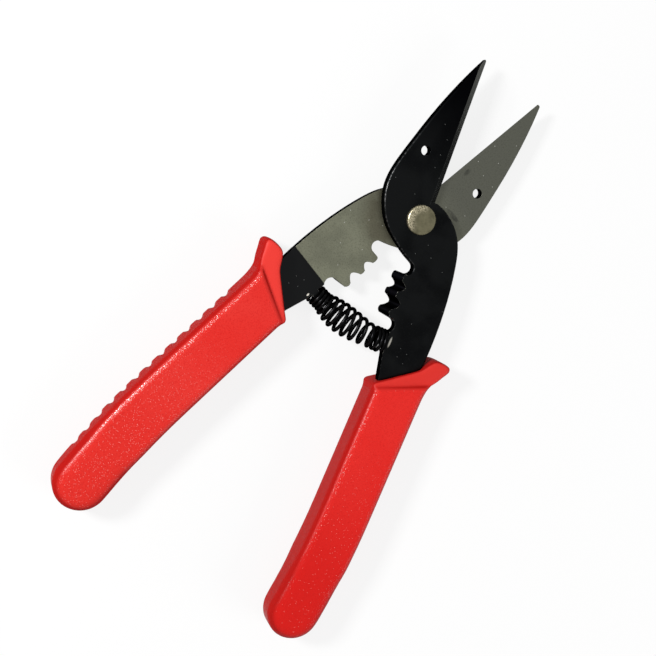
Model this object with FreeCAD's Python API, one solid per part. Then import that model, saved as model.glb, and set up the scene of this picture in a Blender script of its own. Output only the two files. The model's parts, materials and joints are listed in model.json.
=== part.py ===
import FreeCAD, Part
import math
import os

# Spring-loaded electrician scissors: two twin stamped blades, a pivot rivet, a return spring and two grips.
# One half, a blade with its grip, is drawn in the closed position in millimetres: pivot at the origin, blade
# tip towards +Y, ground shear face at Z = 0. The other half is its twin, turned over about Y. Both halves are
# then swung open by the same angle and lifted, so that the grips lie on Z = 0.

# Overall placing
OPEN_HALF_ANGLE = 12.4
PIVOT_Y = 36.29
GRIP_THICKNESS = 11.6

# Blade stamping
PLATE_THICKNESS = 3.0
SHEAR_GAP = 0.04
EDGE_ROUND = 0.5
BEVEL_WIDTH = 2.3
BLADE_TIP = (0.4, 47.0)
BLADE_HEEL = (2.9, 5.9)
BLADE_HOLE_AT = (-6.65, 18.0)
BLADE_HOLE_DIAMETER = 2.8

# Stripping teeth on the inner edge of the shank
TOOTH_TIP_X = -0.5
TOOTH_TOP_Y = -15.5
TOOTH_BOTTOM_Y = -27.95
TOOTH_RELIEF = 2.55

# Spring seat on the inner edge of the shank
SEAT_X = 4.9
SEAT_Y = -35.3
SPIGOT_LENGTH = 3.2
SPIGOT_WIDTH = 2.3

# Pivot rivet
RIVET_SHANK_RADIUS = 2.5
RIVET_RUNNING_CLEARANCE = 0.05
RIVET_HEAD_RADIUS = 4.2
RIVET_HEAD_HEIGHT = 0.9
RIVET_HEAD_ROUND = 0.45
REAR_HEAD_GAP = 0.05

# Barrel-shaped return spring
WIRE_DIAMETER = 1.07
SPRING_END_RADIUS = 2.71
SPRING_MIDDLE_RADIUS = 3.92
SPRING_BOW = 1.76
SPRING_TURNS = 12.625
SPRING_START_TURN = -0.41
SPRING_CLOSED_TURNS = 1.9
SPRING_CLOSED_PITCH = 1.16
SPRING_SEAT_GAP = 0.14
SPRING_POINTS_PER_TURN = 8

# Moulded grip
GRIP_WIDTH = 15.4
GRIP_MID_X = 13.6
GRIP_BEND_Y = -84.5
GRIP_BEND_RADIUS = 240.0
GRIP_BEND_ANGLE = 7.7
GRIP_ROUND = 2.4
COLLAR_LINE_INNER = (5.9, -48.0)
COLLAR_LINE_SLOPE = 21.0
BAR_END_ROUND = 1.2
COLLAR_DROP = 0.85
COLLAR_FALL = 0.035
COLLAR_RISE = 0.10
COLLAR_ROUND = 0.6
GUARD_TAPER = 0.3
GUARD_TAPER_FROM_X = 20.5
GUARD_CREASE_ROUND = 5.0
FINGER_GROOVES = 13
FINGER_GROOVE_PITCH = 4.72
FINGER_GROOVE_FIRST_Y = -53.8
FINGER_GROOVE_RADIUS = 1.15
FINGER_GROOVE_DEPTH = 0.75
FINGER_GROOVE_HALF_LENGTH = 3.4
FINGER_GROOVE_BEHIND = 3.7

Z_AXIS = FreeCAD.Vector(0, 0, 1)
Y_AXIS = FreeCAD.Vector(0, 1, 0)
ORIGIN = FreeCAD.Vector(0, 0, 0)
GRIP_HALF = GRIP_THICKNESS / 2
COLLAR_TURN = math.radians(COLLAR_LINE_SLOPE)
COLLAR_ALONG = FreeCAD.Vector(math.cos(COLLAR_TURN), math.sin(COLLAR_TURN), 0)
COLLAR_AHEAD = Z_AXIS.cross(COLLAR_ALONG)


def at(point, z=0.0):
    return FreeCAD.Vector(point[0], point[1], z)


def line(start, end):
    return Part.LineSegment(at(start), at(end)).toShape()


def arc(start, middle, end):
    return Part.Arc(at(start), at(middle), at(end)).toShape()


def curve(*points):
    spline = Part.BSplineCurve()
    spline.interpolate([at(point) for point in points])
    return spline.toShape()


def prism(edges, z_from, z_to):
    """Solid between two levels over the area that the edges enclose."""
    face = Part.Face(Part.Wire(Part.__sortEdges__(edges)))
    face.translate(FreeCAD.Vector(0, 0, z_from))
    return face.extrude(FreeCAD.Vector(0, 0, z_to - z_from))


def blade_outline():
    """Outline of the stamping: pointed blade, round hub, shank with two round pockets, and hidden tang."""
    seat_top = SEAT_Y + SPIGOT_WIDTH / 2
    seat_bottom = SEAT_Y - SPIGOT_WIDTH / 2
    spigot_x = SEAT_X - SPIGOT_LENGTH
    shoulder_and_outer_edge = curve(BLADE_HEEL, (8.2, 3.6), (12.8, -1.3), (15.4, -8.6), (16.9, -16.4),
                                    (17.8, -24.5), (18.15, -33.0), (18.0, -40.0))
    tang = [line((18.0, -40.0), (17.4, -52.0)),
            line((17.4, -52.0), (14.4, -106.0)),
            arc((14.4, -106.0), (11.2, -109.2), (8.2, -106.0)),
            line((8.2, -106.0), (9.4, -52.0)),
            line((9.4, -52.0), (7.0, -45.4))]
    spring_seat = [line((7.0, -45.4), (5.2, -38.4)),
                   line((5.2, -38.4), (SEAT_X, seat_bottom)),
                   line((SEAT_X, seat_bottom), (spigot_x, seat_bottom)),
                   line((spigot_x, seat_bottom), (spigot_x, seat_top)),
                   line((spigot_x, seat_top), (SEAT_X, seat_top)),
                   line((SEAT_X, seat_top), (4.6, -32.0))]
    tooth_land_x = TOOTH_TIP_X - 0.2
    jaw = [arc((4.6, -32.0), (5.27, -30.2), (3.4, -28.5)),
           line((3.4, -28.5), (tooth_land_x, TOOTH_BOTTOM_Y)),
           line((tooth_land_x, TOOTH_BOTTOM_Y), (tooth_land_x, TOOTH_TOP_Y)),
           line((tooth_land_x, TOOTH_TOP_Y), (2.2, TOOTH_TOP_Y)),
           arc((2.2, TOOTH_TOP_Y), (3.78, -13.6), (2.6, -11.95))]
    hub_and_back = curve((2.6, -11.95), (-0.2, -10.65), (-4.6, -8.0), (-8.5, -4.9), (-11.6, -0.3),
                         (-13.1, 4.3), (-13.25, 8.5), (-12.4, 13.4), (-10.6, 20.3), (-8.65, 27.2),
                         (-6.0, 35.15), (-3.4, 41.8), (-0.82, 47.5))
    tip = arc((-0.82, 47.5), (-0.05, 48.0), BLADE_TIP)
    cutting_edge = line(BLADE_TIP, BLADE_HEEL)
    return [shoulder_and_outer_edge] + tang + spring_seat + jaw + [hub_and_back, tip, cutting_edge]


def tooth_gaps():
    """Space in front of the three teeth; it leans through the plate, so that each tooth has a keen edge."""
    clear_x = TOOTH_TIP_X - 4.0
    row = [arc((0.2, -15.5), (-0.35, -15.75), (-0.55, -16.3)),
           arc((-0.55, -16.3), (-0.6, -17.0), (-0.4, -17.7)),
           curve((-0.4, -17.7), (0.55, -18.3), (1.2, -19.25), (0.6, -20.15), (-0.42, -20.7)),
           arc((-0.42, -20.7), (-0.6, -21.5), (-0.42, -22.4)),
           curve((-0.42, -22.4), (0.75, -23.0), (1.7, -24.2), (1.0, -25.25), (-0.1, -26.0)),
           arc((-0.1, -26.0), (-0.45, -26.95), (0.1, -27.95))]
    surround = [line((0.1, -27.95), (0.1, -29.2)),
                line((0.1, -29.2), (clear_x, -29.2)),
                line((clear_x, -29.2), (clear_x, -15.2)),
                line((clear_x, -15.2), (0.2, -15.2)),
                line((0.2, -15.2), (0.2, -15.5))]
    face = Part.Face(Part.Wire(Part.__sortEdges__(row + surround)))
    return face.extrude(FreeCAD.Vector(TOOTH_RELIEF, 0, PLATE_THICKNESS))


def bevel_cut():
    """Wedge ground off the outer face along the cutting edge, down to a keen edge on the shear face."""
    run_out = 6.0
    above = 1.0
    beyond = 3.0
    along = (at(BLADE_TIP) - at(BLADE_HEEL)).normalize()
    outward = along.cross(Z_AXIS)
    depth = PLATE_THICKNESS + above
    heel = at(BLADE_HEEL)
    corners = [heel,
               heel - outward * (BEVEL_WIDTH * depth / PLATE_THICKNESS) + Z_AXIS * depth,
               heel + outward * beyond + Z_AXIS * depth,
               heel + outward * beyond]
    section = Part.Face(Part.makePolygon(corners + corners[:1]))
    length = (at(BLADE_TIP) - heel).Length + run_out
    return section.extrude(along * length)


def blade():
    plate = prism(blade_outline(), 0, PLATE_THICKNESS)
    rounded = [edge for edge in plate.Edges
               if edge.BoundBox.ZMin > PLATE_THICKNESS - 0.01 and isinstance(edge.Curve, Part.BSplineCurve)]
    plate = plate.makeFillet(EDGE_ROUND, rounded)
    plate = plate.cut(bevel_cut())
    plate = plate.cut(tooth_gaps())
    hole = Part.makeCylinder(BLADE_HOLE_DIAMETER / 2, PLATE_THICKNESS, at(BLADE_HOLE_AT))
    plate = plate.cut(hole)
    plate.translate(FreeCAD.Vector(0, 0, SHEAR_GAP / 2))
    return plate


def bent(radius, angle):
    """Point at this angle of the grip's bend, measured from the straight part."""
    turn = math.radians(angle)
    return (GRIP_MID_X - GRIP_BEND_RADIUS + radius * math.cos(turn), GRIP_BEND_Y - radius * math.sin(turn))


def grip_outline():
    """Outline of the grip: slanting rim, finger guard, straight walls, gentle inward bend and round end."""
    half = GRIP_WIDTH / 2
    inner_x = GRIP_MID_X - half
    outer_x = GRIP_MID_X + half
    outer_radius = GRIP_BEND_RADIUS + half
    inner_radius = GRIP_BEND_RADIUS - half
    end_x, end_y = bent(GRIP_BEND_RADIUS, GRIP_BEND_ANGLE)
    down = math.radians(GRIP_BEND_ANGLE)
    end_tip = (end_x - half * math.sin(down), end_y - half * math.cos(down))
    outer_middle = bent(outer_radius, GRIP_BEND_ANGLE / 2)
    outer_end = bent(outer_radius, GRIP_BEND_ANGLE)
    inner_middle = bent(inner_radius, GRIP_BEND_ANGLE / 2)
    inner_end = bent(inner_radius, GRIP_BEND_ANGLE)
    collar = [line((inner_x, -49.6), (5.61, -47.75)),
              arc((5.61, -47.75), (5.69, -47.09), (6.11, -46.58)),
              line((6.11, -46.58), (17.0, -39.1))]
    guard = curve((17.0, -39.1), (18.6, -37.2), (19.6, -35.9), (20.35, -35.2), (21.4, -34.87),
                  (23.2, -34.85), (24.8, -35.05), (25.75, -35.5), (26.0, -36.4), (25.35, -37.7),
                  (24.4, -39.1), (23.3, -40.6), (22.25, -42.0), (21.7, -43.5), (outer_x, -47.5))
    outer_wall = [line((outer_x, -47.5), (outer_x, GRIP_BEND_Y)),
                  arc((outer_x, GRIP_BEND_Y), outer_middle, outer_end)]
    end = arc(outer_end, end_tip, inner_end)
    inner_wall = [arc(inner_end, inner_middle, (inner_x, GRIP_BEND_Y)),
                  line((inner_x, GRIP_BEND_Y), (inner_x, -49.6))]
    return collar + [guard] + outer_wall + [end] + inner_wall


def space_above(foot, along, height, rise, fall=0.0):
    """Large block over a plane that rises to the left of a direction and falls along it."""
    reach = 60.0
    across = Z_AXIS.cross(along)
    slope = along - Z_AXIS * fall
    low = at(foot, height) - slope * reach
    corners = [low - across * reach - Z_AXIS * (rise * reach),
               low + across * reach + Z_AXIS * (rise * reach),
               low + across * reach + Z_AXIS * reach,
               low - across * reach + Z_AXIS * reach]
    section = Part.Face(Part.makePolygon(corners + corners[:1]))
    return section.extrude(slope * (2 * reach))


def walls_beside(solid, edge):
    """Number of upright faces that meet at an edge."""
    count = 0
    for face in solid.ancestorsOfType(edge, Part.Face):
        u_from, u_to, v_from, v_to = face.ParameterRange
        normal = face.normalAt((u_from + u_to) / 2, (v_from + v_to) / 2)
        if abs(normal.z) < 0.01:
            count += 1
    return count


def on_joint(edge):
    """Whether an edge lies in the upright plane in which the bar meets the collar."""
    ends = [edge.valueAt(edge.FirstParameter), edge.valueAt(edge.LastParameter)]
    return max(abs((end - at(COLLAR_LINE_INNER)).dot(COLLAR_AHEAD)) for end in ends) < 0.01


def with_round_rims(solid, radius):
    """Rounds every edge between a wall and a face, but not the joint of bar and collar."""
    rims = [edge for edge in solid.Edges if walls_beside(solid, edge) == 1 and not on_joint(edge)]
    return solid.makeFillet(radius, rims)


def bar_end_sliver():
    """What a rounding takes off the upper edge of the bar's end, all along its joint with the collar."""
    reach = 30.0
    corner = at(COLLAR_LINE_INNER, GRIP_HALF) - COLLAR_ALONG * reach
    axis = corner - (COLLAR_AHEAD + Z_AXIS) * BAR_END_ROUND
    start = axis + Z_AXIS * BAR_END_ROUND
    middle = axis + (COLLAR_AHEAD + Z_AXIS).normalize() * BAR_END_ROUND
    end = axis + COLLAR_AHEAD * BAR_END_ROUND
    section = Part.Wire([Part.Arc(start, middle, end).toShape(),
                         Part.LineSegment(end, corner + Z_AXIS).toShape(),
                         Part.LineSegment(corner + Z_AXIS, start + Z_AXIS).toShape(),
                         Part.LineSegment(start + Z_AXIS, start).toShape()])
    return Part.Face(section).extrude(COLLAR_ALONG * (2 * reach))


def grip_shell():
    """Round-edged bar in a lower collar, which flares to its rim and thins out at the guard."""
    whole = prism(grip_outline(), -GRIP_HALF, GRIP_HALF)
    reach = 60.0
    left = at(COLLAR_LINE_INNER) - COLLAR_ALONG * reach
    corners = [left, left + COLLAR_ALONG * (2 * reach)]
    corners += [corners[1] + COLLAR_AHEAD * reach, corners[0] + COLLAR_AHEAD * reach]
    ahead = Part.Face(Part.makePolygon(corners + corners[:1]))
    ahead.translate(at((0, 0), -reach))
    ahead = ahead.extrude(Z_AXIS * (2 * reach))
    bar = with_round_rims(whole.cut(ahead), GRIP_ROUND)
    collar = whole.common(ahead)
    flare = space_above(COLLAR_LINE_INNER, COLLAR_ALONG, GRIP_HALF - COLLAR_DROP, COLLAR_RISE, COLLAR_FALL)
    thinning = space_above((GUARD_TAPER_FROM_X, 0), Y_AXIS, GRIP_HALF, GUARD_TAPER)
    sliver = bar_end_sliver().common(flare)
    bar = bar.cut(sliver)
    bar = bar.cut(sliver.mirror(ORIGIN, Z_AXIS))
    for block in (flare, thinning):
        collar = collar.cut(block)
        collar = collar.cut(block.mirror(ORIGIN, Z_AXIS))
    creases = [edge for edge in collar.Edges if walls_beside(collar, edge) == 0]
    collar = collar.makeFillet(GUARD_CREASE_ROUND, creases)
    collar = with_round_rims(collar, COLLAR_ROUND)
    return bar.fuse(collar).removeSplitter()


def finger_groove(wall_x, y, z):
    """Spindle-shaped scallop that fades out towards both faces of the grip."""
    end_radius = FINGER_GROOVE_RADIUS - FINGER_GROOVE_DEPTH
    top = FreeCAD.Vector(end_radius, 0, FINGER_GROOVE_HALF_LENGTH)
    middle = FreeCAD.Vector(FINGER_GROOVE_RADIUS, 0, 0)
    bottom = FreeCAD.Vector(end_radius, 0, -FINGER_GROOVE_HALF_LENGTH)
    foot = FreeCAD.Vector(0, 0, -FINGER_GROOVE_HALF_LENGTH)
    head = FreeCAD.Vector(0, 0, FINGER_GROOVE_HALF_LENGTH)
    section = Part.Wire([Part.Arc(top, middle, bottom).toShape(),
                         Part.LineSegment(bottom, foot).toShape(),
                         Part.LineSegment(foot, head).toShape(),
                         Part.LineSegment(head, top).toShape()])
    spindle = Part.Face(section).revolve(ORIGIN, Z_AXIS, 360)
    spindle.translate(FreeCAD.Vector(wall_x + end_radius, y, z))
    return spindle


def outer_wall_x(y):
    radius = GRIP_BEND_RADIUS + GRIP_WIDTH / 2
    below_bend = max(0.0, GRIP_BEND_Y - y)
    return GRIP_MID_X - GRIP_BEND_RADIUS + math.sqrt(radius ** 2 - below_bend ** 2)


def grip(front):
    """Grip with its front face towards +Z or -Z, and finger grooves at the back of its outer wall."""
    shell = grip_shell()
    for index in range(FINGER_GROOVES):
        y = FINGER_GROOVE_FIRST_Y - index * FINGER_GROOVE_PITCH
        shell = shell.cut(finger_groove(outer_wall_x(y), y, -front * FINGER_GROOVE_BEHIND))
    return shell


def rivet():
    """Shank through both hubs with a flat head on the front blade and a formed head behind the rear blade."""
    face_z = PLATE_THICKNESS + SHEAR_GAP / 2
    shank_length = 2 * face_z + REAR_HEAD_GAP
    shank = Part.makeCylinder(RIVET_SHANK_RADIUS, shank_length, at((0, 0), face_z - shank_length))
    head = Part.makeCylinder(RIVET_HEAD_RADIUS, RIVET_HEAD_HEIGHT)
    top_rim = [edge for edge in head.Edges if edge.BoundBox.ZMin > RIVET_HEAD_HEIGHT - 0.01]
    head = head.makeFillet(RIVET_HEAD_ROUND, top_rim)
    formed_head = head.mirror(ORIGIN, Z_AXIS)
    head.translate(at((0, 0), face_z))
    formed_head.translate(at((0, 0), -face_z - REAR_HEAD_GAP))
    return shank.fuse([head, formed_head]).removeSplitter()


def spring():
    """Barrel-shaped coil on a shallow arc that meets both seats squarely, with closed turns at its ends."""
    half = math.radians(OPEN_HALF_ANGLE)
    seat_x = SEAT_X * math.cos(half) - SEAT_Y * math.sin(half)
    seat_y = SEAT_X * math.sin(half) + SEAT_Y * math.cos(half)
    bow_radius = (seat_x ** 2 + SPRING_BOW ** 2) / (2 * SPRING_BOW)
    bow_half_angle = math.asin(seat_x / bow_radius)
    bow_centre_y = seat_y + bow_radius * math.cos(bow_half_angle)
    seat_z = SHEAR_GAP / 2 + PLATE_THICKNESS / 2
    length = 2 * bow_radius * bow_half_angle - 2 * (WIRE_DIAMETER / 2 + SPRING_SEAT_GAP)
    closed_length = SPRING_CLOSED_TURNS * SPRING_CLOSED_PITCH
    open_turns = SPRING_TURNS - 2 * SPRING_CLOSED_TURNS
    open_pitch = (length - 2 * closed_length) / open_turns

    def coil_point(turn):
        from_end = min(turn, SPRING_TURNS - turn)
        advance = min(from_end, SPRING_CLOSED_TURNS) * SPRING_CLOSED_PITCH
        advance += max(0.0, from_end - SPRING_CLOSED_TURNS) * open_pitch
        if turn > SPRING_TURNS / 2:
            advance = length - advance
        swell = max(0.0, from_end - 1.0) / (SPRING_TURNS / 2 - 1.0)
        swelling = SPRING_MIDDLE_RADIUS - SPRING_END_RADIUS
        radius = SPRING_END_RADIUS + swelling * math.sin(swell * math.pi / 2)
        angle = 2 * math.pi * (SPRING_START_TURN - turn)
        around = (advance - length / 2) / bow_radius
        from_bow = bow_radius + radius * math.cos(angle)
        height = 2 * seat_z * (advance - length / 2) / length + radius * math.sin(angle)
        return FreeCAD.Vector(from_bow * math.sin(around), bow_centre_y - from_bow * math.cos(around), height)

    count = round(SPRING_TURNS * SPRING_POINTS_PER_TURN)
    centre_line = Part.BSplineCurve()
    centre_line.interpolate([coil_point(index / SPRING_POINTS_PER_TURN) for index in range(count + 1)])
    start = centre_line.value(centre_line.FirstParameter)
    heading = centre_line.tangent(centre_line.FirstParameter)[0]
    wire_end = Part.Wire(Part.makeCircle(WIRE_DIAMETER / 2, start, heading))
    return Part.Wire(centre_line.toShape()).makePipeShell([wire_end], True, True)


def bored(plate, radius):
    return plate.cut(Part.makeCylinder(radius, PLATE_THICKNESS + 1, at((0, 0), -0.5)))


def turned_over(shape):
    """The twin of a front piece, turned half round about the length of the tool."""
    twin = shape.copy()
    twin.rotate(ORIGIN, Y_AXIS, 180)
    return twin


def save(shape, node, swing=0.0):
    placed = shape.copy()
    placed.rotate(ORIGIN, Z_AXIS, swing)
    placed.translate(FreeCAD.Vector(0, PIVOT_Y, GRIP_HALF))
    placed.exportStep(os.path.join("parts", node + ".step"))


os.makedirs("parts", exist_ok=True)
stamping = blade()
save(bored(stamping, RIVET_SHANK_RADIUS), "front_blade", OPEN_HALF_ANGLE)
running_fit = bored(stamping, RIVET_SHANK_RADIUS + RIVET_RUNNING_CLEARANCE)
save(turned_over(running_fit), "rear_blade", -OPEN_HALF_ANGLE)
save(grip(1).cut(stamping), "right_grip", OPEN_HALF_ANGLE)
save(turned_over(grip(-1).cut(stamping)), "left_grip", -OPEN_HALF_ANGLE)
save(rivet(), "pivot_rivet")
save(spring(), "return_spring")
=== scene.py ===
import bpy
import json
import math
from mathutils import Matrix, Vector


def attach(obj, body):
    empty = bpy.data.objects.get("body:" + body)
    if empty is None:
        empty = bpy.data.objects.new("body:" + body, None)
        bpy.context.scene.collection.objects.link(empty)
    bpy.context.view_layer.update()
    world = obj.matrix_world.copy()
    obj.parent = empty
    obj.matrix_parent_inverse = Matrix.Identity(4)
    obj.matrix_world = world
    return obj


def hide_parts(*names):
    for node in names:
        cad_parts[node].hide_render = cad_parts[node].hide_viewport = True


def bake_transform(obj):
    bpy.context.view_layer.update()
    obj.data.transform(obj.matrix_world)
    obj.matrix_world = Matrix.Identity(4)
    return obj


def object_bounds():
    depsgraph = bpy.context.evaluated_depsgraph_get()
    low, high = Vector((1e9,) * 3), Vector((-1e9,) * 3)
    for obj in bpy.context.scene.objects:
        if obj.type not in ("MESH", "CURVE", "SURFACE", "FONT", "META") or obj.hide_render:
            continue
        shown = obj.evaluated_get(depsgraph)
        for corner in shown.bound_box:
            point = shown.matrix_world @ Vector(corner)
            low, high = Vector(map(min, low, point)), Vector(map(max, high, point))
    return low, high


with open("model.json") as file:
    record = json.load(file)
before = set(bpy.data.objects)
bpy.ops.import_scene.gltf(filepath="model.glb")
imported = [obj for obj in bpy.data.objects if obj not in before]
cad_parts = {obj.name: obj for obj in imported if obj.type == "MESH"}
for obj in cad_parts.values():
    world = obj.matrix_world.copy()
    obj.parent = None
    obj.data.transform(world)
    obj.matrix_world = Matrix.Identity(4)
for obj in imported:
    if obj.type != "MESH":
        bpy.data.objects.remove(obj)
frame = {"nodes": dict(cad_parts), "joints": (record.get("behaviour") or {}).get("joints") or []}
cad_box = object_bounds()

# The two blades are twin stampings of 3 mm spring steel, blackened all over. Their shear faces and edge
# bevels are ground afterwards, which leaves them bare grey as far as a border above the spring seat.
# Each finish is drawn in millimetres on its own half of the tool, closed, with the pivot at the centre.
MM_PER_M = 1000.0
PIVOT = Vector(frame["joints"][0]["pos_m"])
OPEN_HALF_ANGLE = math.radians(12.4)
FRONT_HALF = Matrix.Rotation(-OPEN_HALF_ANGLE, 3, "Z")
REAR_HALF = Matrix.Rotation(math.pi, 3, "Y") @ Matrix.Rotation(OPEN_HALF_ANGLE, 3, "Z")
PLATE_THICKNESS = 3.0
SPRING_SEAT = (4.9, -35.3)


def join(tree, node, sockets):
    """Fills sockets of a shading node: with a link where an output is given, otherwise with the value."""
    for name, value in sockets.items():
        if isinstance(value, bpy.types.NodeSocket):
            tree.links.new(value, node.inputs[name])
        else:
            node.inputs[name].default_value = value


def put(tree, kind, sockets, **settings):
    """Adds a shading node of this kind, sets it up and fills its sockets."""
    node = tree.nodes.new("ShaderNode" + kind)
    for name, value in settings.items():
        setattr(node, name, value)
    join(tree, node, sockets)
    return node


def calc(tree, operation, first, second=0.0, third=0.0):
    return put(tree, "Math", {0: first, 1: second, 2: third}, operation=operation).outputs[0]


def times(tree, product, *shares):
    """Several shares multiplied."""
    for share in shares:
        product = calc(tree, "MULTIPLY", product, share)
    return product


def apart(tree, first, second):
    """How far two numbers are from each other."""
    return calc(tree, "ABSOLUTE", calc(tree, "SUBTRACT", first, second))


def vector_calc(tree, operation, first, second=(0, 0, 0)):
    node = put(tree, "VectorMath", {0: first, 1: second}, operation=operation)
    return node.outputs["Value" if operation in ("DOT_PRODUCT", "LENGTH") else "Vector"]


def split(tree, vector):
    """The X, Y and Z of a vector."""
    return put(tree, "SeparateXYZ", {"Vector": vector}).outputs


def ramp(tree, value, low, high):
    """0 below low, 1 above high, with a soft step; the other way round where low is the larger one."""
    sockets = {"Value": value, "From Min": low, "From Max": high}
    return put(tree, "MapRange", sockets, interpolation_type="SMOOTHSTEP").outputs["Result"]


def noise(tree, place, cells_per_mm, detail=2.0, roughness=0.5):
    sockets = {"Vector": place, "Scale": cells_per_mm, "Detail": detail, "Roughness": roughness}
    return put(tree, "TexNoise", sockets).outputs["Fac"]


def ground_areas(tree, place):
    """Shares of the shear face, of its ground part above the border, and of the bevel down the edge."""
    shear_face_z = 0.05
    border_y, border_slope, border_blur = -31.97, 0.055, 0.25
    wander_cells, wander_mm = 1.5, 0.25
    tip, heel, heel_run_out = Vector((0.4, 47.0, 0.0)), Vector((2.9, 5.9, 0.02)), 1.0
    bevel_width, bevel_reach = 2.3, 0.04

    x, y, z = split(tree, place)
    on_face = calc(tree, "LESS_THAN", z, shear_face_z)
    wander = times(tree, noise(tree, place, wander_cells), wander_mm)
    over_border = calc(tree, "SUBTRACT", y, times(tree, x, border_slope))
    over_border = ramp(tree, calc(tree, "ADD", over_border, wander), border_y, border_y + border_blur)
    outward = (tip - heel).normalized().cross(Vector((0, 0, 1)))
    bevel_normal = (outward * PLATE_THICKNESS + Vector((0, 0, bevel_width))).normalized()
    from_bevel = apart(tree, vector_calc(tree, "DOT_PRODUCT", place, bevel_normal), bevel_normal.dot(heel))
    on_bevel = calc(tree, "LESS_THAN", from_bevel, bevel_reach)
    past_heel = calc(tree, "GREATER_THAN", y, heel.y - heel_run_out)
    return on_face, times(tree, on_face, over_border), times(tree, on_bevel, past_heel)


def worn_edges(tree, place, soft_normal):
    """Shares of the plate's edges and roundings, of the teeth's edges, and of the teeth's walls."""
    bent_normals, leaning_slopes = (0.985, 0.86), (0.97, 0.88)
    steep_slopes, tooth_rim_slopes = (0.30, 0.55), (0.90, 0.97)
    teeth_top_y, teeth_foot_y, teeth_side_x = (-12.5, -14.5), (-30.0, -28.5), (4.8, 4.4)

    x, y, _ = split(tree, place)
    true_normal = put(tree, "NewGeometry", {}).outputs["Normal"]
    slope = calc(tree, "ABSOLUTE", split(tree, true_normal)["Z"])
    on_edge = ramp(tree, vector_calc(tree, "DOT_PRODUCT", soft_normal, true_normal), *bent_normals)
    leaning = ramp(tree, slope, *leaning_slopes)
    teeth = times(tree, ramp(tree, y, *teeth_top_y), ramp(tree, y, *teeth_foot_y))
    teeth = times(tree, teeth, ramp(tree, x, *teeth_side_x))
    rounding = times(tree, leaning, ramp(tree, slope, *steep_slopes), calc(tree, "SUBTRACT", 1.0, teeth))
    tooth_edge = times(tree, on_edge, teeth, ramp(tree, slope, *tooth_rim_slopes))
    return calc(tree, "MAXIMUM", on_edge, rounding), tooth_edge, times(tree, leaning, teeth)


def blend_colour(tree, share, first, second):
    """The first colour, which turns into the second one as the share goes from 0 to 1."""
    return put(tree, "Mix", {0: share, 6: first, 7: second}, data_type="RGBA").outputs[2]


def clouds(tree, place, cells_per_mm, low, high, detail=2.0, roughness=0.5):
    """Irregular soft patches: 0 where the noise is under low, 1 where it is over high."""
    return ramp(tree, noise(tree, place, cells_per_mm, detail, roughness), low, high)


def specks(tree, place, cells_per_mm, size_mm, share, dimensions="3D"):
    """1 on small round specks, on this share of the cells."""
    cells = put(tree, "TexVoronoi", {"Vector": place, "Scale": cells_per_mm}, voronoi_dimensions=dimensions)
    near = calc(tree, "LESS_THAN", cells.outputs["Distance"], size_mm * cells_per_mm)
    pick = put(tree, "SeparateColor", {"Color": cells.outputs["Color"]}).outputs["Red"]
    return times(tree, near, calc(tree, "LESS_THAN", pick, share))


def patch(tree, place, centre, half_size):
    """1 in the middle of a soft oval patch on a plate, 0 outside it."""
    rim, full_within = 1.0, 0.5
    offset = vector_calc(tree, "SUBTRACT", place, (*centre, 0))
    offset = vector_calc(tree, "MULTIPLY", offset, (1 / half_size[0], 1 / half_size[1], 0))
    return ramp(tree, vector_calc(tree, "LENGTH", offset), rim, full_within)


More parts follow.
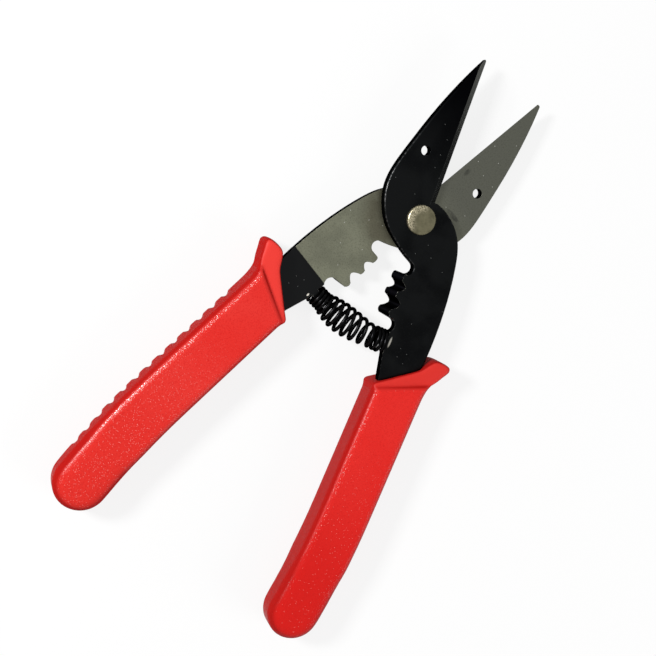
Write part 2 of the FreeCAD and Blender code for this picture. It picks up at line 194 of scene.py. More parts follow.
def black_coat(tree, place, soft_normal, on_face, shank_painted_light):
    """Colour of the blackening, with painted shade towards the tip and on the teeth's walls, painted light
    on the shank, and painted highlights on rubbed edges and beside the spring's seat; and the share of the
    seat's painted glints.
    """
    black, painted_shade_black = (0.0122, 0.013, 0.0138, 1), (0.0033, 0.0033, 0.0044, 1)
    worn, painted_light_black = (0.0207, 0.0222, 0.0229, 1), (0.029, 0.030, 0.031, 1)
    fleck, dust = (0.028, 0.030, 0.031, 1), (0.40, 0.41, 0.40, 1)
    rubbed_edge_highlight, bare_steel_glint = (0.09, 0.09, 0.09, 1), (0.85, 0.82, 0.72, 1)
    hub_side_x, hub_reach_y = (0.0, -6.0), (14.0, 9.0)
    shank_y, tip_y, rubbed_y = (-26.0, -33.0), (8.0, 42.0), (30.0, 4.0)
    seat_x, seat_y = SPRING_SEAT
    seat_side, seat_end = (0.9, 0.4), (3.4, 2.6)
    seat_glint_patch, seat_corner_glint_patch = ((5.85, -34.8), (0.38, 1.9)), ((5.75, -37.2), (0.34, 0.60))
    fleck_strength, outer_face_depth = 0.6, 0.1

    x, y, z = split(tree, place)
    on_edge, tooth_edge, tooth_wall = worn_edges(tree, place, soft_normal)
    beside_hub = times(tree, ramp(tree, x, *hub_side_x), ramp(tree, apart(tree, y, 0.0), *hub_reach_y))
    dull = clouds(tree, place, cells_per_mm=0.12, low=0.40, high=0.66, detail=3.0)
    colour = blend_colour(tree, calc(tree, "MAXIMUM", dull, beside_hub), black, worn)
    # Painted light: the shank below the ground faces is painted a paler black, on the rear blade only.
    colour = blend_colour(tree, times(tree, ramp(tree, y, *shank_y), shank_painted_light), colour, painted_light_black)
    flecks = clouds(tree, place, cells_per_mm=2.6, low=0.52, high=0.74, roughness=0.7)
    colour = blend_colour(tree, times(tree, flecks, fleck_strength), colour, fleck)
    # Painted shade: the coat is painted darker towards the blade's tip.
    colour = blend_colour(tree, ramp(tree, y, *tip_y), colour, painted_shade_black)
    dusty = specks(tree, place, cells_per_mm=0.42, size_mm=0.09, share=0.09, dimensions="2D")
    colour = blend_colour(tree, dusty, colour, dust)
    patchy = clouds(tree, place, cells_per_mm=1.3, low=0.42, high=0.62)
    # Rubbed edges, paler mostly down towards the hub: partly wear, partly a painted highlight on the
    # roundings.
    colour = blend_colour(tree, times(tree, on_edge, patchy, ramp(tree, y, *rubbed_y)), colour, rubbed_edge_highlight)
    # Painted shade: the teeth's walls are painted near black.
    colour = blend_colour(tree, tooth_wall, colour, painted_shade_black)
    # Painted highlight: the teeth's edges are painted as bright bare steel in patches.
    colour = blend_colour(tree, times(tree, tooth_edge, patchy), colour, bare_steel_glint)
    # Painted highlight: bright bare steel along the edges beside the spring's seat.
    beside_seat = ramp(tree, apart(tree, x, seat_x), *seat_side)
    along_seat = ramp(tree, apart(tree, y, seat_y), *seat_end)
    colour = blend_colour(tree, times(tree, beside_seat, along_seat, on_edge), colour, bare_steel_glint)
    # Painted glints: a near-white matt spot on the outer face and one at the shear face's corner beside the
    # seat.
    on_outer_face = calc(tree, "GREATER_THAN", z, PLATE_THICKNESS - outer_face_depth)
    seat_glint_on_face = times(tree, patch(tree, place, *seat_glint_patch), on_outer_face)
    seat_glint_at_corner = times(tree, patch(tree, place, *seat_corner_glint_patch), on_face)
    seat_glint = calc(tree, "MAXIMUM", seat_glint_on_face, seat_glint_at_corner)
    return blend_colour(tree, seat_glint, colour, bare_steel_glint), seat_glint


def from_pivot(tree, place):
    """Distance from the pivot's axis."""
    return vector_calc(tree, "LENGTH", vector_calc(tree, "MULTIPLY", place, (1, 1, 0)))


def ground_steel(tree, place, on_bevel):
    """Colour of the ground faces: cloudy grey with painted shade towards the blade, browned beside the hub
    by an oil stain and painted shade, the bevel dark at its heel.
    """
    light, dark, painted_shade_grey = (0.44, 0.45, 0.329, 1), (0.349, 0.357, 0.262, 1), (0.239, 0.245, 0.201, 1)
    grit_dark, bright_speck = (0.133, 0.133, 0.107, 1), (0.95, 0.95, 0.88, 1)
    oil_stain_and_shade, scuff = (0.130, 0.106, 0.068, 1), (0.070, 0.070, 0.064, 1)
    bevel_at_heel, bevel_at_tip = (0.065, 0.068, 0.067, 1), (0.24, 0.245, 0.23, 1)
    tip_y, bevel_y = (-6.0, 14.0), (14.0, 46.0)
    stain_radius, stain_y = (18.5, 12.8), (1.0, -4.0)
    wire_scuff, hub_scuff = ((0.0, 19.7), (0.8, 1.7)), ((-6.6, 8.4), (3.4, 0.9))
    grit_strength, stain_and_shade_strength, scuff_strength = 0.5, 0.55, 0.6

    y = split(tree, place)["Y"]
    cloudy = clouds(tree, place, cells_per_mm=0.10, low=0.35, high=0.65, detail=4.0, roughness=0.6)
    colour = blend_colour(tree, cloudy, light, dark)
    # Painted shade: the ground steel is painted darker towards the blade.
    colour = blend_colour(tree, ramp(tree, y, *tip_y), colour, painted_shade_grey)
    grit = clouds(tree, place, cells_per_mm=2.4, low=0.45, high=0.75, roughness=0.7)
    colour = blend_colour(tree, times(tree, grit, grit_strength), colour, grit_dark)
    # An oil stain and painted shade, browner and darker towards the front hub's edge.
    stain_and_shade = times(tree, ramp(tree, from_pivot(tree, place), *stain_radius), ramp(tree, y, *stain_y))
    smears = clouds(tree, place, cells_per_mm=0.25, low=0.15, high=0.55, detail=3.0)
    colour = blend_colour(tree, times(tree, stain_and_shade, smears, stain_and_shade_strength), colour, oil_stain_and_shade)
    scuffed = calc(tree, "MAXIMUM", patch(tree, place, *wire_scuff), patch(tree, place, *hub_scuff))
    scratches = clouds(tree, place, cells_per_mm=0.7, low=0.25, high=0.60)
    colour = blend_colour(tree, times(tree, scuffed, scratches, scuff_strength), colour, scuff)
    bright = specks(tree, place, cells_per_mm=0.22, size_mm=0.12, share=0.35, dimensions="2D")
    colour = blend_colour(tree, bright, colour, bright_speck)
    bevel = blend_colour(tree, ramp(tree, y, *bevel_y), bevel_at_heel, bevel_at_tip)
    return blend_colour(tree, on_bevel, colour, bevel)


def new_finish(name):
    """A named material with its node tree and its surface shader."""
    material = bpy.data.materials.new(name)
    material.use_nodes = True
    return material, material.node_tree, material.node_tree.nodes["Principled BSDF"]


def half_frame(tree, turn):
    """Place in millimetres from the pivot; a half's blade lies along +Y, with its shear face at Z = 0."""
    coordinates = put(tree, "TexCoord", {})
    mapping = put(tree, "Mapping", {"Vector": coordinates.outputs["Object"],
                                    "Location": turn @ PIVOT * -MM_PER_M,
                                    "Rotation": turn.to_euler(),
                                    "Scale": (MM_PER_M,) * 3})
    return mapping.outputs["Vector"]


def uneven(tree, place, cells_per_mm, least, spread):
    """A number that wanders over the surface, by up to spread above least."""
    return calc(tree, "MULTIPLY_ADD", noise(tree, place, cells_per_mm, detail=3.0), spread, least)


def blend_number(tree, share, first, second):
    return put(tree, "Mix", {0: share, 2: first, 3: second}, data_type="FLOAT").outputs[0]


def bumpy(tree, height, strength, depth_mm, normal=None):
    """The surface's normal, or the one given, tilted by small hills and hollows."""
    sockets = {"Height": height, "Strength": strength, "Distance": depth_mm / MM_PER_M}
    if normal is not None:
        sockets["Normal"] = normal
    return put(tree, "Bump", sockets).outputs["Normal"]


def blade_finish(name, turn, shank_painted_light):
    """A blackened plate with ground faces; its last argument is how much its shank below them is painted
    paler, as painted light.
    """
    edge_rounding_mm, edge_samples = 0.16, 6
    grain_strength, grain_depth_mm = 0.25, 0.04
    dark_mirror = (0.12, 0.12, 0.12, 1)

    material, tree, surface = new_finish(name)
    place = half_frame(tree, turn)
    soft_edges = put(tree, "Bevel", {"Radius": edge_rounding_mm / MM_PER_M}, samples=edge_samples)
    soft_normal = soft_edges.outputs["Normal"]
    on_face, ground, on_bevel = ground_areas(tree, place)
    bare = calc(tree, "MAXIMUM", ground, on_bevel)
    coat, seat_glint = black_coat(tree, place, soft_normal, on_face, shank_painted_light)
    colour = blend_colour(tree, bare, coat, ground_steel(tree, place, on_bevel))
    coat_dullness = uneven(tree, place, cells_per_mm=0.2, least=0.26, spread=0.16)
    steel_dullness = uneven(tree, place, cells_per_mm=0.6, least=0.45, spread=0.06)
    grain = noise(tree, place, cells_per_mm=5.0, detail=3.0, roughness=0.6)
    # Where the seat's glints are painted, the plate is not metal.
    join(tree, surface, {"Base Color": colour,
                         "Roughness": blend_number(tree, bare, coat_dullness, steel_dullness),
                         "Metallic": calc(tree, "SUBTRACT", 1.0, seat_glint),
                         "Specular Tint": dark_mirror,
                         "Normal": bumpy(tree, grain, grain_strength, grain_depth_mm, soft_normal)})
    return material


def dress(piece, finish):
    piece.data.materials.clear()
    piece.data.materials.append(finish)


# Only the rear blade, on the lamp's side, gets the painted light on its shank.
dress(frame["nodes"]["front_blade"], blade_finish("front_blade_finish", FRONT_HALF, shank_painted_light=0.0))
dress(frame["nodes"]["rear_blade"], blade_finish("rear_blade_finish", REAR_HALF, shank_painted_light=1.0))

# The pivot is one nickel-plated steel rivet through both hubs, its head flattened by the press.
# The plating has worn to a brassy grey; the bright specks towards the rim, on the head's left side, are a
# painted highlight.
AS_IT_LIES = Matrix.Identity(3)


def rivet_finish():
    plating, worn_plating = (0.343, 0.317, 0.196, 1), (0.222, 0.206, 0.127, 1)
    painted_highlight = (0.95, 0.85, 0.60, 1)
    highlight_radius, lit_side_x = (1.4, 3.2), (0.5, -2.0)
    fine_dents, crown_fall = 0.4, 0.7
    dent_strength, dent_depth_mm = 0.3, 0.12

    material, tree, surface = new_finish("rivet_finish")
    place = half_frame(tree, AS_IT_LIES)
    radius = from_pivot(tree, place)
    worn = clouds(tree, place, cells_per_mm=0.45, low=0.35, high=0.68, detail=4.0, roughness=0.6)
    colour = blend_colour(tree, worn, plating, worn_plating)
    # Painted highlight: bright specks towards the rim, on the head's left side only.
    highlight_specks = clouds(tree, place, cells_per_mm=2.6, low=0.40, high=0.60, detail=3.0, roughness=0.7)
    on_lit_side = ramp(tree, split(tree, place)["X"], *lit_side_x)
    highlight_specks = times(tree, highlight_specks, ramp(tree, radius, *highlight_radius), on_lit_side)
    colour = blend_colour(tree, highlight_specks, colour, painted_highlight)
    dents = noise(tree, place, cells_per_mm=1.1, detail=3.0)
    dents = calc(tree, "ADD", dents, times(tree, noise(tree, place, cells_per_mm=4.0), fine_dents))
    crown = times(tree, calc(tree, "POWER", radius, 2.0), crown_fall)
    hills = calc(tree, "SUBTRACT", dents, crown)
    join(tree, surface, {"Base Color": colour, "Metallic": 0.9, "Roughness": 0.42,
                         "Normal": bumpy(tree, hills, dent_strength, dent_depth_mm)})
    return material


dress(frame["nodes"]["pivot_rivet"], rivet_finish())

# The return spring is a barrel of 1.1 mm blackened music wire, its closed end turns slipped over spigots of
# the two blades. It stands in a shallow bow from seat to seat.
WIRE_DIAMETER = 1.07
WIRE_ROUNDNESS, WIRE_EDGE_ANGLE = 3, math.radians(50)
SPRING_BOW = 1.53
SPRING_TURNS, START_TURN = 13.92, 0.02
LEFT_CLOSED_TURNS, RIGHT_CLOSED_TURNS, CLOSED_PITCH = 4.0, 2.65, 1.10
OPENING_GROWTH = 0.19
LEFT_RADIUS, MIDDLE_RADIUS, RIGHT_RADIUS = 2.64, 4.04, 3.08
LEFT_EVEN_TURNS, RIGHT_EVEN_TURNS = 3.2, 3.4
SPRING_SEAT_GAP = 0.14
PLATE_MIDDLE_Z = 1.52
POINTS_PER_TURN = 30

seat_x = SPRING_SEAT[0] * math.cos(OPEN_HALF_ANGLE) - SPRING_SEAT[1] * math.sin(OPEN_HALF_ANGLE)
seat_y = SPRING_SEAT[0] * math.sin(OPEN_HALF_ANGLE) + SPRING_SEAT[1] * math.cos(OPEN_HALF_ANGLE)
bow_radius = (seat_x ** 2 + SPRING_BOW ** 2) / (2 * SPRING_BOW)
bow_half_angle = math.asin(seat_x / bow_radius)
bow_centre_y = seat_y + bow_radius * math.cos(bow_half_angle)
spring_length = 2 * bow_radius * bow_half_angle - 2 * (WIRE_DIAMETER / 2 + SPRING_SEAT_GAP)
open_turns = SPRING_TURNS - LEFT_CLOSED_TURNS - RIGHT_CLOSED_TURNS
open_length = spring_length - (LEFT_CLOSED_TURNS + RIGHT_CLOSED_TURNS) * CLOSED_PITCH


def coil_point(turn):
    """Middle of the wire after so many turns, in the tool's frame."""
    opened = min(max((turn - LEFT_CLOSED_TURNS) / open_turns, 0.0), 1.0)
    closed = min(turn, LEFT_CLOSED_TURNS) + max(0.0, turn - LEFT_CLOSED_TURNS - open_turns)
    advance = closed * CLOSED_PITCH + open_length * opened * (1 - OPENING_GROWTH * (1 - opened))
    barrel = (turn - LEFT_EVEN_TURNS) / (SPRING_TURNS - LEFT_EVEN_TURNS - RIGHT_EVEN_TURNS)
    barrel = min(max(barrel, 0.0), 1.0)
    end_radius = LEFT_RADIUS + (RIGHT_RADIUS - LEFT_RADIUS) * barrel
    swelling = MIDDLE_RADIUS - (LEFT_RADIUS + RIGHT_RADIUS) / 2
    radius = end_radius + swelling * math.sin(math.pi * barrel)
    share = advance / spring_length - 0.5
    around = share * spring_length / bow_radius
    angle = 2 * math.pi * (START_TURN - turn)
    from_bow = bow_radius + radius * math.cos(angle)
    height = 2 * PLATE_MIDDLE_Z * share + radius * math.sin(angle)
    middle = Vector((from_bow * math.sin(around), bow_centre_y - from_bow * math.cos(around), height))
    return PIVOT + middle / MM_PER_M


bpy.ops.object.select_all(action="DESELECT")
bpy.ops.curve.primitive_nurbs_path_add()
spring = bpy.context.object
spring.name = "coiled_spring"
spring.location = (0, 0, 0)
spring.data.splines.clear()
wire = spring.data.splines.new("POLY")
point_count = round(SPRING_TURNS * POINTS_PER_TURN) + 1
wire.points.add(point_count - 1)
for index in range(point_count):
    wire.points[index].co = (*coil_point(index / POINTS_PER_TURN), 1)
spring.data.bevel_depth = WIRE_DIAMETER / 2 / MM_PER_M
spring.data.bevel_resolution = WIRE_ROUNDNESS
spring.data.use_fill_caps = True
bpy.ops.object.convert(target="MESH")
spring = bpy.context.object
bpy.ops.object.shade_smooth_by_angle(angle=WIRE_EDGE_ANGLE)


def spring_finish():
    blackened, rubbed = (0.0107, 0.0107, 0.0115, 1), (0.0344, 0.0344, 0.0353, 1)
    dim_mirror = (0.30, 0.30, 0.30, 1)
    drawing_strength, drawing_depth_mm = 0.2, 0.05

    material, tree, surface = new_finish("spring_finish")
    place = half_frame(tree, AS_IT_LIES)
    rub = clouds(tree, place, cells_per_mm=0.9, low=0.52, high=0.72, detail=3.0, roughness=0.6)
    drawing = noise(tree, place, cells_per_mm=3.0)
    join(tree, surface, {"Base Color": blend_colour(tree, rub, blackened, rubbed),
                         "Roughness": 0.30, "Metallic": 1.0, "Specular Tint": dim_mirror,
                         "Normal": bumpy(tree, drawing, drawing_strength, drawing_depth_mm)})
    return material


dress(spring, spring_finish())
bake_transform(spring)
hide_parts("return_spring")

# The grips are red plastic moulded round the tangs: a bent bar with finger grooves at the back of its outer
# wall, grained like a spark-eroded mould, and a smooth flared collar that runs out into a finger guard.
# Each piece is a copy of its solid with a moulding's soft edges, a longer guard and deeper grooves.
GRIP_FACET, GRIP_MERGE = 0.4, 0.002
SOFTENING_STEPS, SOFTENING_FACTOR = 160, 0.7
BAR_SOFTNESS, COLLAR_SOFTNESS, END_SOFTNESS = 0.010, 0.08, 1.0
END_FROM_Y, END_TO_Y = -99.0, -108.0
END_EQUATOR_Z, END_SHOULDER_Z = 2.6, 5.0
COLLAR_FOOT, COLLAR_SLOPE = Vector((5.9, -48.0, 0)), math.radians(21)
COLLAR_SOFT_FROM, COLLAR_SOFT_TO = 0.5, 2.5
COLLAR_EQUATOR_Z, COLLAR_SHOULDER_Z = 1.2, 3.0
GUARD_FROM_X, GUARD_TO_X, GUARD_GROWTH = 13.0, 22.0, 0.3
GRIP_MIDDLE_X, GRIP_WIDTH, GRIP_BEND_Y, GRIP_BEND_RADIUS = 13.6, 15.4, -84.5, 240.0
GROOVES, GROOVE_PITCH, FIRST_GROOVE_Y = 13, 4.72, -53.8
GROOVE_GROWTH, GROOVE_HALF_WIDTH, GROOVE_REACH = 0.45, 0.8, 3.0
GROOVE_BEHIND, GROOVE_FLAT, GROOVE_HALF_LENGTH = 3.7, 0.8, 3.6

collar_ahead = Vector((-math.sin(COLLAR_SLOPE), math.cos(COLLAR_SLOPE), 0))


def eased(value, low, high):
    """The soft step of ramp, as a number."""
    share = min(max((value - low) / (high - low), 0.0), 1.0)
    return share * share * (3 - 2 * share)


def softness(place):
    """Share of the softening at a point: all at the domed end, some on the collar, hardly any elsewhere."""
    at_end = eased(place.y, END_FROM_Y, END_TO_Y) * eased(abs(place.z), END_EQUATOR_Z, END_SHOULDER_Z)
    at_collar = eased(collar_ahead.dot(place - COLLAR_FOOT), COLLAR_SOFT_FROM, COLLAR_SOFT_TO)
    at_collar *= eased(abs(place.z), COLLAR_EQUATOR_Z, COLLAR_SHOULDER_Z)
    return min(BAR_SOFTNESS + at_end * END_SOFTNESS + at_collar * COLLAR_SOFTNESS, 1.0)


def groove_growth(place, groove_z):
    """How much deeper the finger grooves get at a point of the grip's outer wall."""
    outer_radius = GRIP_BEND_RADIUS + GRIP_WIDTH / 2
    from_bend = Vector((place.x - GRIP_MIDDLE_X + GRIP_BEND_RADIUS, min(place.y - GRIP_BEND_Y, 0.0)))
    depth = outer_radius - from_bend.length
    down = FIRST_GROOVE_Y - max(place.y, GRIP_BEND_Y) - outer_radius * math.atan2(from_bend.y, from_bend.x)
    nearest = min(max(round(down / GROOVE_PITCH), 0), GROOVES - 1)
    across = math.exp(-((down - nearest * GROOVE_PITCH) / GROOVE_HALF_WIDTH) ** 2)
    along = 1 - eased(abs(place.z - groove_z), GROOVE_FLAT, GROOVE_HALF_LENGTH)
    return GROOVE_GROWTH * across * along * (1 - eased(depth, 0.0, GROOVE_REACH))


def guard_growth(place):
    """How much further the finger guard reaches at a point of the collar."""
    ahead = collar_ahead.dot(place - COLLAR_FOOT)
    return GUARD_GROWTH * eased(place.x, GUARD_FROM_X, GUARD_TO_X) * eased(ahead, 0.0, COLLAR_SOFT_TO)


def softened_grip(node, name, body, turn):
    """A copy of the grip's solid in even facets, shaped and softened as a moulding, which stands for it."""
    bpy.ops.object.select_all(action="DESELECT")
    grip = bpy.data.objects.new(name, frame["nodes"][node].data.copy())
    bpy.context.scene.collection.objects.link(grip)
    grip.select_set(True)
    bpy.context.view_layer.objects.active = grip
    bpy.ops.object.mode_set(mode="EDIT")
    bpy.ops.mesh.select_all(action="SELECT")
    bpy.ops.mesh.remove_doubles(threshold=GRIP_MERGE / MM_PER_M)
    bpy.ops.object.mode_set(mode="OBJECT")
    facets = grip.modifiers.new("facets", "REMESH")
    facets.mode = "VOXEL"
    facets.voxel_size = GRIP_FACET / MM_PER_M
    bpy.ops.object.modifier_apply(modifier=facets.name)

    back = turn @ Vector((0, 0, -1))
    soft = grip.vertex_groups.new(name="soft")
    for vertex in grip.data.vertices:
        place = turn @ (vertex.co - PIVOT) * MM_PER_M
        soft.add([vertex.index], softness(place), "REPLACE")
        place += Vector((-groove_growth(place, GROOVE_BEHIND * back.z), guard_growth(place), 0))
        vertex.co = PIVOT + turn.transposed() @ place / MM_PER_M
    softening = grip.modifiers.new("softening", "SMOOTH")
    softening.factor = SOFTENING_FACTOR
    softening.iterations = SOFTENING_STEPS
    softening.vertex_group = soft.name
    bpy.ops.object.modifier_apply(modifier=softening.name)
    grip.vertex_groups.clear()
    bpy.ops.object.shade_smooth()
    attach(grip, body)
    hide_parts(node)
    return grip


def moulded_red(tree, place, along, bar_end, grained, wall, reds):
    """Colour of the plastic: clouded, flecked where grained and darker towards the end, with painted shade
    on the walls and in the fold.
    """
    fleck_red, painted_shade_red = (0.640, 0.010, 0.009, 1), (0.430, 0.010, 0.008, 1)
    end_y, collar_length = (-62.0, -112.0), 2.0
    painted_fold_shade_red, fold_ahead, fold_reach = (0.50, 0.010, 0.008, 1), 0.75, (1.1, 0.2)
    fleck_strength, fold_shade_strength = 0.6, 0.4

    cloudy = clouds(tree, place, cells_per_mm=0.05, low=0.35, high=0.65, detail=3.0)
    colour = blend_colour(tree, cloudy, reds["plain"], reds["faded"])
    colour = blend_colour(tree, ramp(tree, split(tree, place)["Y"], *end_y), colour, reds["end"])
    colour = blend_colour(tree, ramp(tree, along, bar_end, bar_end + collar_length), colour, reds["collar"])
    flecks = clouds(tree, place, cells_per_mm=3.4, low=0.48, high=0.68, roughness=0.6)
    colour = blend_colour(tree, times(tree, flecks, grained, fleck_strength), colour, fleck_red)
    # Painted shade: the walls and the roundings down to them are painted a darker red.
    colour = blend_colour(tree, wall, colour, painted_shade_red)
    # Painted shade in the fold between the bar's end and the collar.
    fold_shade = ramp(tree, apart(tree, along, bar_end + fold_ahead), *fold_reach)
    return blend_colour(tree, times(tree, fold_shade, fold_shade_strength), colour, painted_fold_shade_red)


def painted_glitter(tree, place, colour, grained, wall, painted_glitter_share):
    """The colour with painted glints and pits, painted highlights and painted shade of the grain, which grow
    denser down the bar's flat faces.
    """
    painted_glint_red, painted_pit_shade_red = (1.0, 0.42, 0.38, 1), (0.30, 0.008, 0.006, 1)
    glittering_y, pits_per_glint = (-52.0, -95.0), 0.6

    down_bar = ramp(tree, split(tree, place)["Y"], *glittering_y)
    glints = specks(tree, place, cells_per_mm=3.6, size_mm=0.066, share=painted_glitter_share)
    glints = times(tree, glints, down_bar, calc(tree, "SUBTRACT", grained, wall))
    colour = blend_colour(tree, put(tree, "Clamp", {"Value": glints}).outputs[0], colour, painted_glint_red)
    pits = specks(tree, place, cells_per_mm=3.1, size_mm=0.07, share=painted_glitter_share * pits_per_glint)
    return blend_colour(tree, times(tree, pits, down_bar, grained), colour, painted_pit_shade_red)


def painted_edge_sparkles(tree, place, facing, slope, grained, painted_sparkle_share):
    """Share of the painted highlight: bright grains along the bar's upper left edge, on its left-facing
    roundings.
    """
    inner_slopes, outer_slopes = (0.985, 0.968), (0.895, 0.925)
    leftward, bar_y = (-0.05, -0.12), (-104.0, -88.0)

    lit_edge = times(tree, ramp(tree, slope, *inner_slopes), ramp(tree, slope, *outer_slopes))
    lit_edge = times(tree, lit_edge, ramp(tree, facing["X"], *leftward))
    lit_edge = times(tree, lit_edge, grained, ramp(tree, split(tree, place)["Y"], *bar_y))
    grains = specks(tree, place, cells_per_mm=4.2, size_mm=0.085, share=painted_sparkle_share)
    return times(tree, grains, lit_edge)


def edge_gloss(tree, place, slope, grained):
    """Share of the polish that hands have put on the bar's upper edges."""
    inner_slopes, outer_slopes, bar_y = (0.99, 0.93), (0.66, 0.82), (-115.0, -92.0)

    edge = times(tree, ramp(tree, slope, *inner_slopes), ramp(tree, slope, *outer_slopes))
    edge = times(tree, edge, clouds(tree, place, cells_per_mm=3.2, low=0.50, high=0.62))
    return times(tree, edge, ramp(tree, split(tree, place)["Y"], *bar_y), grained)


def grip_finish(name, turn, reds, edge_polish_and_sparkle, wall_sheen, painted_glitter_share):
    """Red plastic, grained from the end of the bar up to the foot of the collar and smooth beyond it."""
    bar_end_round, grain_ends, grain_starts = 1.0, 0.1, -0.2
    wall_slopes, end_wall_slopes, end_wall_y = (0.978, 0.55), (0.992, 0.66), (-99.0, -107.0)
    painted_sparkle_white, painted_sparkles_per_polish = (1.0, 0.80, 0.74, 1), 0.45
    collar_dullness, bar_dullness, face_sheen = 0.46, 0.24, 0.22
    ripple_height, grain_strength, grain_depth_mm = 0.25, 0.8, 0.07

    material, tree, surface = new_finish(name)
    place = half_frame(tree, turn)
    along = vector_calc(tree, "DOT_PRODUCT", place, collar_ahead)
    bar_end = collar_ahead.dot(COLLAR_FOOT) - bar_end_round
    grained = ramp(tree, along, bar_end + grain_ends, bar_end + grain_starts)
    facing = split(tree, put(tree, "NewGeometry", {}).outputs["Normal"])
    slope = calc(tree, "ABSOLUTE", facing["Z"])
    # The walls, and more of the domed end, are where shade is painted.
    at_end = ramp(tree, split(tree, place)["Y"], *end_wall_y)
    end_wall = times(tree, at_end, ramp(tree, slope, *end_wall_slopes))
    wall = calc(tree, "MAXIMUM", ramp(tree, slope, *wall_slopes), end_wall)

    colour = moulded_red(tree, place, along, bar_end, grained, wall, reds)
    # Painted highlights and shade of the grain: pale glints and dark pits.
    colour = painted_glitter(tree, place, colour, grained, wall, painted_glitter_share)
    # Painted highlight: white grains along the bar's upper left edge.
    painted_sparkles = painted_edge_sparkles(tree, place, facing, slope, grained, edge_polish_and_sparkle * painted_sparkles_per_polish)
    colour = blend_colour(tree, painted_sparkles, colour, painted_sparkle_white)
    polish = times(tree, edge_gloss(tree, place, slope, grained), edge_polish_and_sparkle)
    sheen = calc(tree, "ADD", blend_number(tree, wall, face_sheen, wall_sheen), polish)
    grain = times(tree, noise(tree, place, cells_per_mm=2.8, roughness=0.65), grained)
    ripple = times(tree, noise(tree, place, cells_per_mm=0.35), ripple_height)
    hills = calc(tree, "ADD", grain, ripple)
    join(tree, surface, {"Base Color": colour,
                         "Roughness": blend_number(tree, grained, collar_dullness, bar_dullness),
                         "Specular IOR Level": sheen,
                         "Normal": bumpy(tree, hills, grain_strength, grain_depth_mm)})
    return material


# The left grip's reds are paler than the right one's, a painted sheen, and the right one is darker towards
# its end.
right_reds = {"plain": (0.81, 0.022, 0.017, 1), "faded": (0.83, 0.027, 0.021, 1),
              "end": (0.71, 0.012, 0.009, 1), "collar": (0.76, 0.034, 0.026, 1)}
left_reds = {"plain": (0.80, 0.029, 0.022, 1), "faded": (0.82, 0.041, 0.032, 1),
             "end": (0.77, 0.030, 0.022, 1), "collar": (0.84, 0.046, 0.035, 1)}
right_moulding = softened_grip("right_grip", "right_grip_moulding", "front_half", FRONT_HALF)
left_moulding = softened_grip("left_grip", "left_grip_moulding", "rear_half", REAR_HALF)
# The left grip gets more painted sparkles and glints, and more polish, than the right one.
dress(right_moulding, grip_finish("right_grip_finish", FRONT_HALF, right_reds,
                                  edge_polish_and_sparkle=0.34, wall_sheen=0.03, painted_glitter_share=0.07))
dress(left_moulding, grip_finish("left_grip_finish", REAR_HALF, left_reds,
                                 edge_polish_and_sparkle=1.0, wall_sheen=0.005, painted_glitter_share=0.24))

# The tool lies flat on its grips on a plain floor of matt white card. The camera sees the floor as white;
# it is dimmer where the tool mirrors it, and throws less light than that back at the tool.
FLOOR_SIZE, FLOOR_DROP = 6.0, 0.00005

bpy.ops.object.select_all(action="DESELECT")
bpy.ops.mesh.primitive_plane_add(size=FLOOR_SIZE, location=(0, 0, -FLOOR_DROP))
floor = bpy.context.object
floor.name = "floor"


def seen_share(tree, mirrored_share):
    """1 for what the camera sees, less for what the tool mirrors, 0 for the light on the tool."""
    rays = put(tree, "LightPath", {}).outputs
    mirrored = calc(tree, "MAXIMUM", rays["Is Glossy Ray"], rays["Is Transmission Ray"])
    return calc(tree, "MAXIMUM", rays["Is Camera Ray"], times(tree, mirrored, mirrored_share))


def floor_finish():
    white, grey = (1, 1, 1, 1), (0.62, 0.62, 0.62, 1)
    white_share, mirrored_share = 0.84, 0.30
    material, tree, surface = new_finish("floor_finish")
    seen = seen_share(tree, mirrored_share)
    join(tree, surface, {"Base Color": blend_colour(tree, seen, grey, white),
                         "Roughness": 0.9, "Specular IOR Level": 0.0})
    glow = put(tree, "Emission", {"Color": white, "Strength": 1.0})
    mixed = put(tree, "MixShader", {0: times(tree, seen, white_share),
                                    1: surface.outputs["BSDF"], 2: glow.outputs["Emission"]})
    join(tree, tree.nodes["Material Output"], {"Surface": mixed.outputs["Shader"]})
    return material


dress(floor, floor_finish())

# The camera stands close above the tool, which is turned in the picture and leans away from it.
# Its distance and the width of the picture at the pivot are in metres.
PICTURE_TURN = math.radians(-36.41)
SIDE_LEAN, BACK_LEAN = math.radians(15.52), math.radians(9.55)
CAMERA_DISTANCE, NEAREST_SEEN = 0.349, 0.01
PICTURE_WIDTH = 0.18410
PIVOT_RIGHT, PIVOT_UP = 0.02508, 0.03053
SENSOR_WIDTH = 36.0

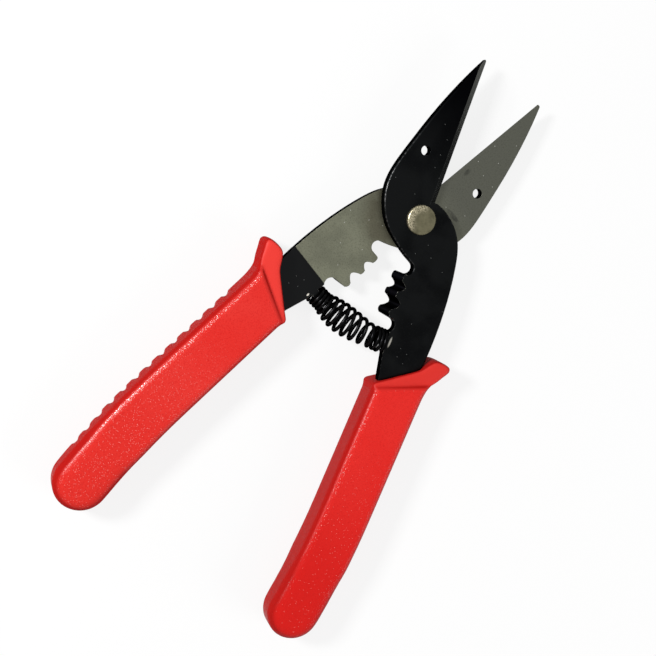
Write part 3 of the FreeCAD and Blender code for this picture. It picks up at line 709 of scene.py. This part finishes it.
leaning = Matrix.Rotation(BACK_LEAN, 3, "X") @ Matrix.Rotation(SIDE_LEAN, 3, "Y")
axes = leaning @ Matrix.Rotation(PICTURE_TURN, 3, "Z")
right, up, back = axes
camera_place = PIVOT - right * PIVOT_RIGHT - up * PIVOT_UP + back * CAMERA_DISTANCE
bpy.ops.object.camera_add()
camera = bpy.context.object
camera.name = "camera"
camera.matrix_world = Matrix.Translation(camera_place) @ axes.transposed().to_4x4()
camera.data.sensor_width = SENSOR_WIDTH
camera.data.lens = SENSOR_WIDTH * CAMERA_DISTANCE / PICTURE_WIDTH
camera.data.clip_start = NEAREST_SEEN
bpy.context.scene.camera = camera

# Studio light: the main lamp stands on the left, half-way down to the floor, and a broad one low on the
# right, so that the flat faces mirror neither of them. A pale even surround fills the shadows.
MAIN_PLACE, MAIN_SIZE, MAIN_POWER = Vector((-0.552, -0.08, 0.431)), 0.12, 4.5
FILL_PLACE, FILL_SIZE, FILL_POWER = Vector((0.650, 0.0, 0.260)), 0.40, 2.4
LOW_SURROUND, HIGH_SURROUND = (0.34, 0.34, 0.34, 1), (0.26, 0.26, 0.26, 1)
LOW_HEIGHT, HIGH_HEIGHT = 0.15, 0.75
SEEN_SURROUND, MIRRORED_SURROUND_SHARE = (0.9, 0.9, 0.9, 1), 0.17

tool_middle = (cad_box[0] + cad_box[1]) / 2


def soft_lamp(name, from_middle, size, power):
    """A square lamp, this far from the middle of the tool and turned towards it."""
    bpy.ops.object.light_add(type="AREA", location=tool_middle + from_middle)
    lamp = bpy.context.object
    lamp.name = name
    lamp.data.size = size
    lamp.data.energy = power
    lamp.rotation_euler = (-from_middle).to_track_quat("-Z", "Y").to_euler()
    return lamp


soft_lamp("lamp_on_left", MAIN_PLACE, MAIN_SIZE, MAIN_POWER)
fill = soft_lamp("lamp_on_right", FILL_PLACE, FILL_SIZE, FILL_POWER)
fill.visible_glossy = False

surround = bpy.data.worlds.new("surround")
bpy.context.scene.world = surround
surround.use_nodes = True
sky = surround.node_tree
height = split(sky, put(sky, "TexCoord", {}).outputs["Generated"])["Z"]
shade = blend_colour(sky, ramp(sky, height, LOW_HEIGHT, HIGH_HEIGHT), LOW_SURROUND, HIGH_SURROUND)
shade = blend_colour(sky, seen_share(sky, MIRRORED_SURROUND_SHARE), shade, SEEN_SURROUND)
join(sky, sky.nodes["Background"], {"Color": shade, "Strength": 1.0})

bpy.context.scene.view_settings.view_transform = "Standard"
